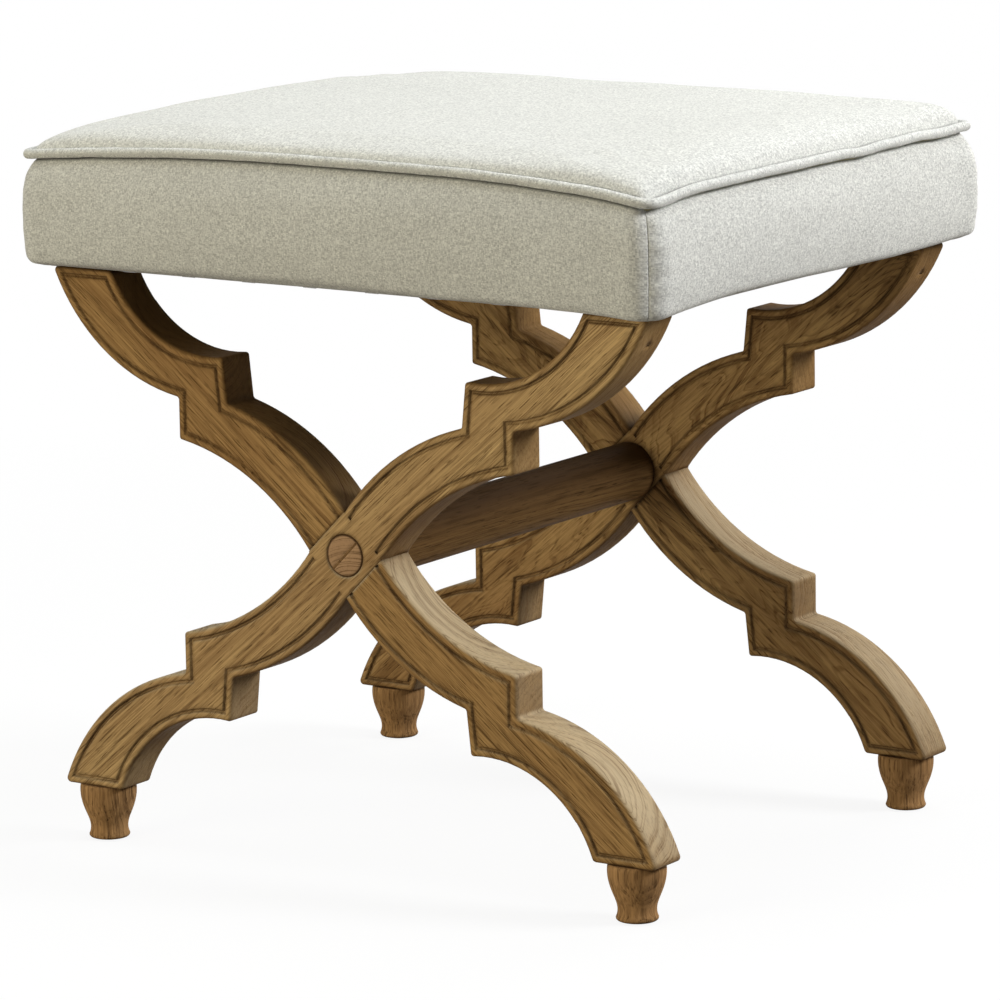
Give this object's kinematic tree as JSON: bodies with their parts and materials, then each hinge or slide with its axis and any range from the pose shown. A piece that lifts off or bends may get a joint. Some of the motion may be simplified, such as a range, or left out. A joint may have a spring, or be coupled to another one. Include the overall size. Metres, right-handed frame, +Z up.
{
  "type": "footstool",
  "caption": "Low upholstered footstool: padded box seat on two crossed ogee-stepped wooden frames joined by a turned stretcher, on small turned feet.",
  "frame": {"origin": "on the floor under the middle of the seat", "axes": "+X along the wide front of the seat, +Y from the front frame to the back frame, +Z up"},
  "size_m": [0.4942, 0.4112, 0.4887],
  "materials": {
    "leg_wood": "satin",
    "stretcher_wood": "satin",
    "wedge_wood": "satin",
    "foot_wood": "satin",
    "dowel_wood": "raw",
    "frame_wood": "raw",
    "board_wood": "raw",
    "linen": "matte woven",
    "dust_cloth": "matte",
    "wadding": "matte",
    "foam": "matte",
    "glide_plastic": "matte",
    "steel": "zinc plated"
  },
  "bodies": {
    "root": {"back_leg_falling": "leg_wood", "back_leg_rising": "leg_wood", "block_screws_back_left": "steel", "block_screws_back_right": "steel", "block_screws_front_left": "steel", "block_screws_front_right": "steel", "board_screws": "steel", "boxing_back": "linen", "boxing_front": "linen", "boxing_left": "linen", "boxing_right": "linen", "corner_block_back_left": "frame_wood", "corner_block_back_right": "frame_wood", "corner_block_front_left": "frame_wood", "corner_block_front_right": "frame_wood", "dust_cover": "dust_cloth", "foam_pad": "foam", "foot_back_left": "foot_wood", "foot_back_right": "foot_wood", "foot_dowel_back_left": "dowel_wood", "foot_dowel_back_right": "dowel_wood", "foot_dowel_front_left": "dowel_wood", "foot_dowel_front_right": "dowel_wood", "foot_front_left": "foot_wood", "foot_front_right": "foot_wood", "front_leg_falling": "leg_wood", "front_leg_rising": "leg_wood", "glide_back_left": "glide_plastic", "glide_back_right": "glide_plastic", "glide_front_left": "glide_plastic", "glide_front_right": "glide_plastic", "rail_back": "frame_wood", "rail_dowels_back_left": "dowel_wood", "rail_dowels_back_right": "dowel_wood", "rail_dowels_front_left": "dowel_wood", "rail_dowels_front_right": "dowel_wood", "rail_front": "frame_wood", "rail_left": "frame_wood", "rail_right": "frame_wood", "seat_board": "board_wood", "stretcher": "stretcher_wood", "stretcher_wedge_back": "wedge_wood", "stretcher_wedge_front": "wedge_wood", "top_cover": "linen", "top_dowels_back_left": "dowel_wood", "top_dowels_back_right": "dowel_wood", "top_dowels_front_left": "dowel_wood", "top_dowels_front_right": "dowel_wood", "underside_staples": "steel", "wadding": "wadding", "welt": "linen"}
  },
  "joints": []
}
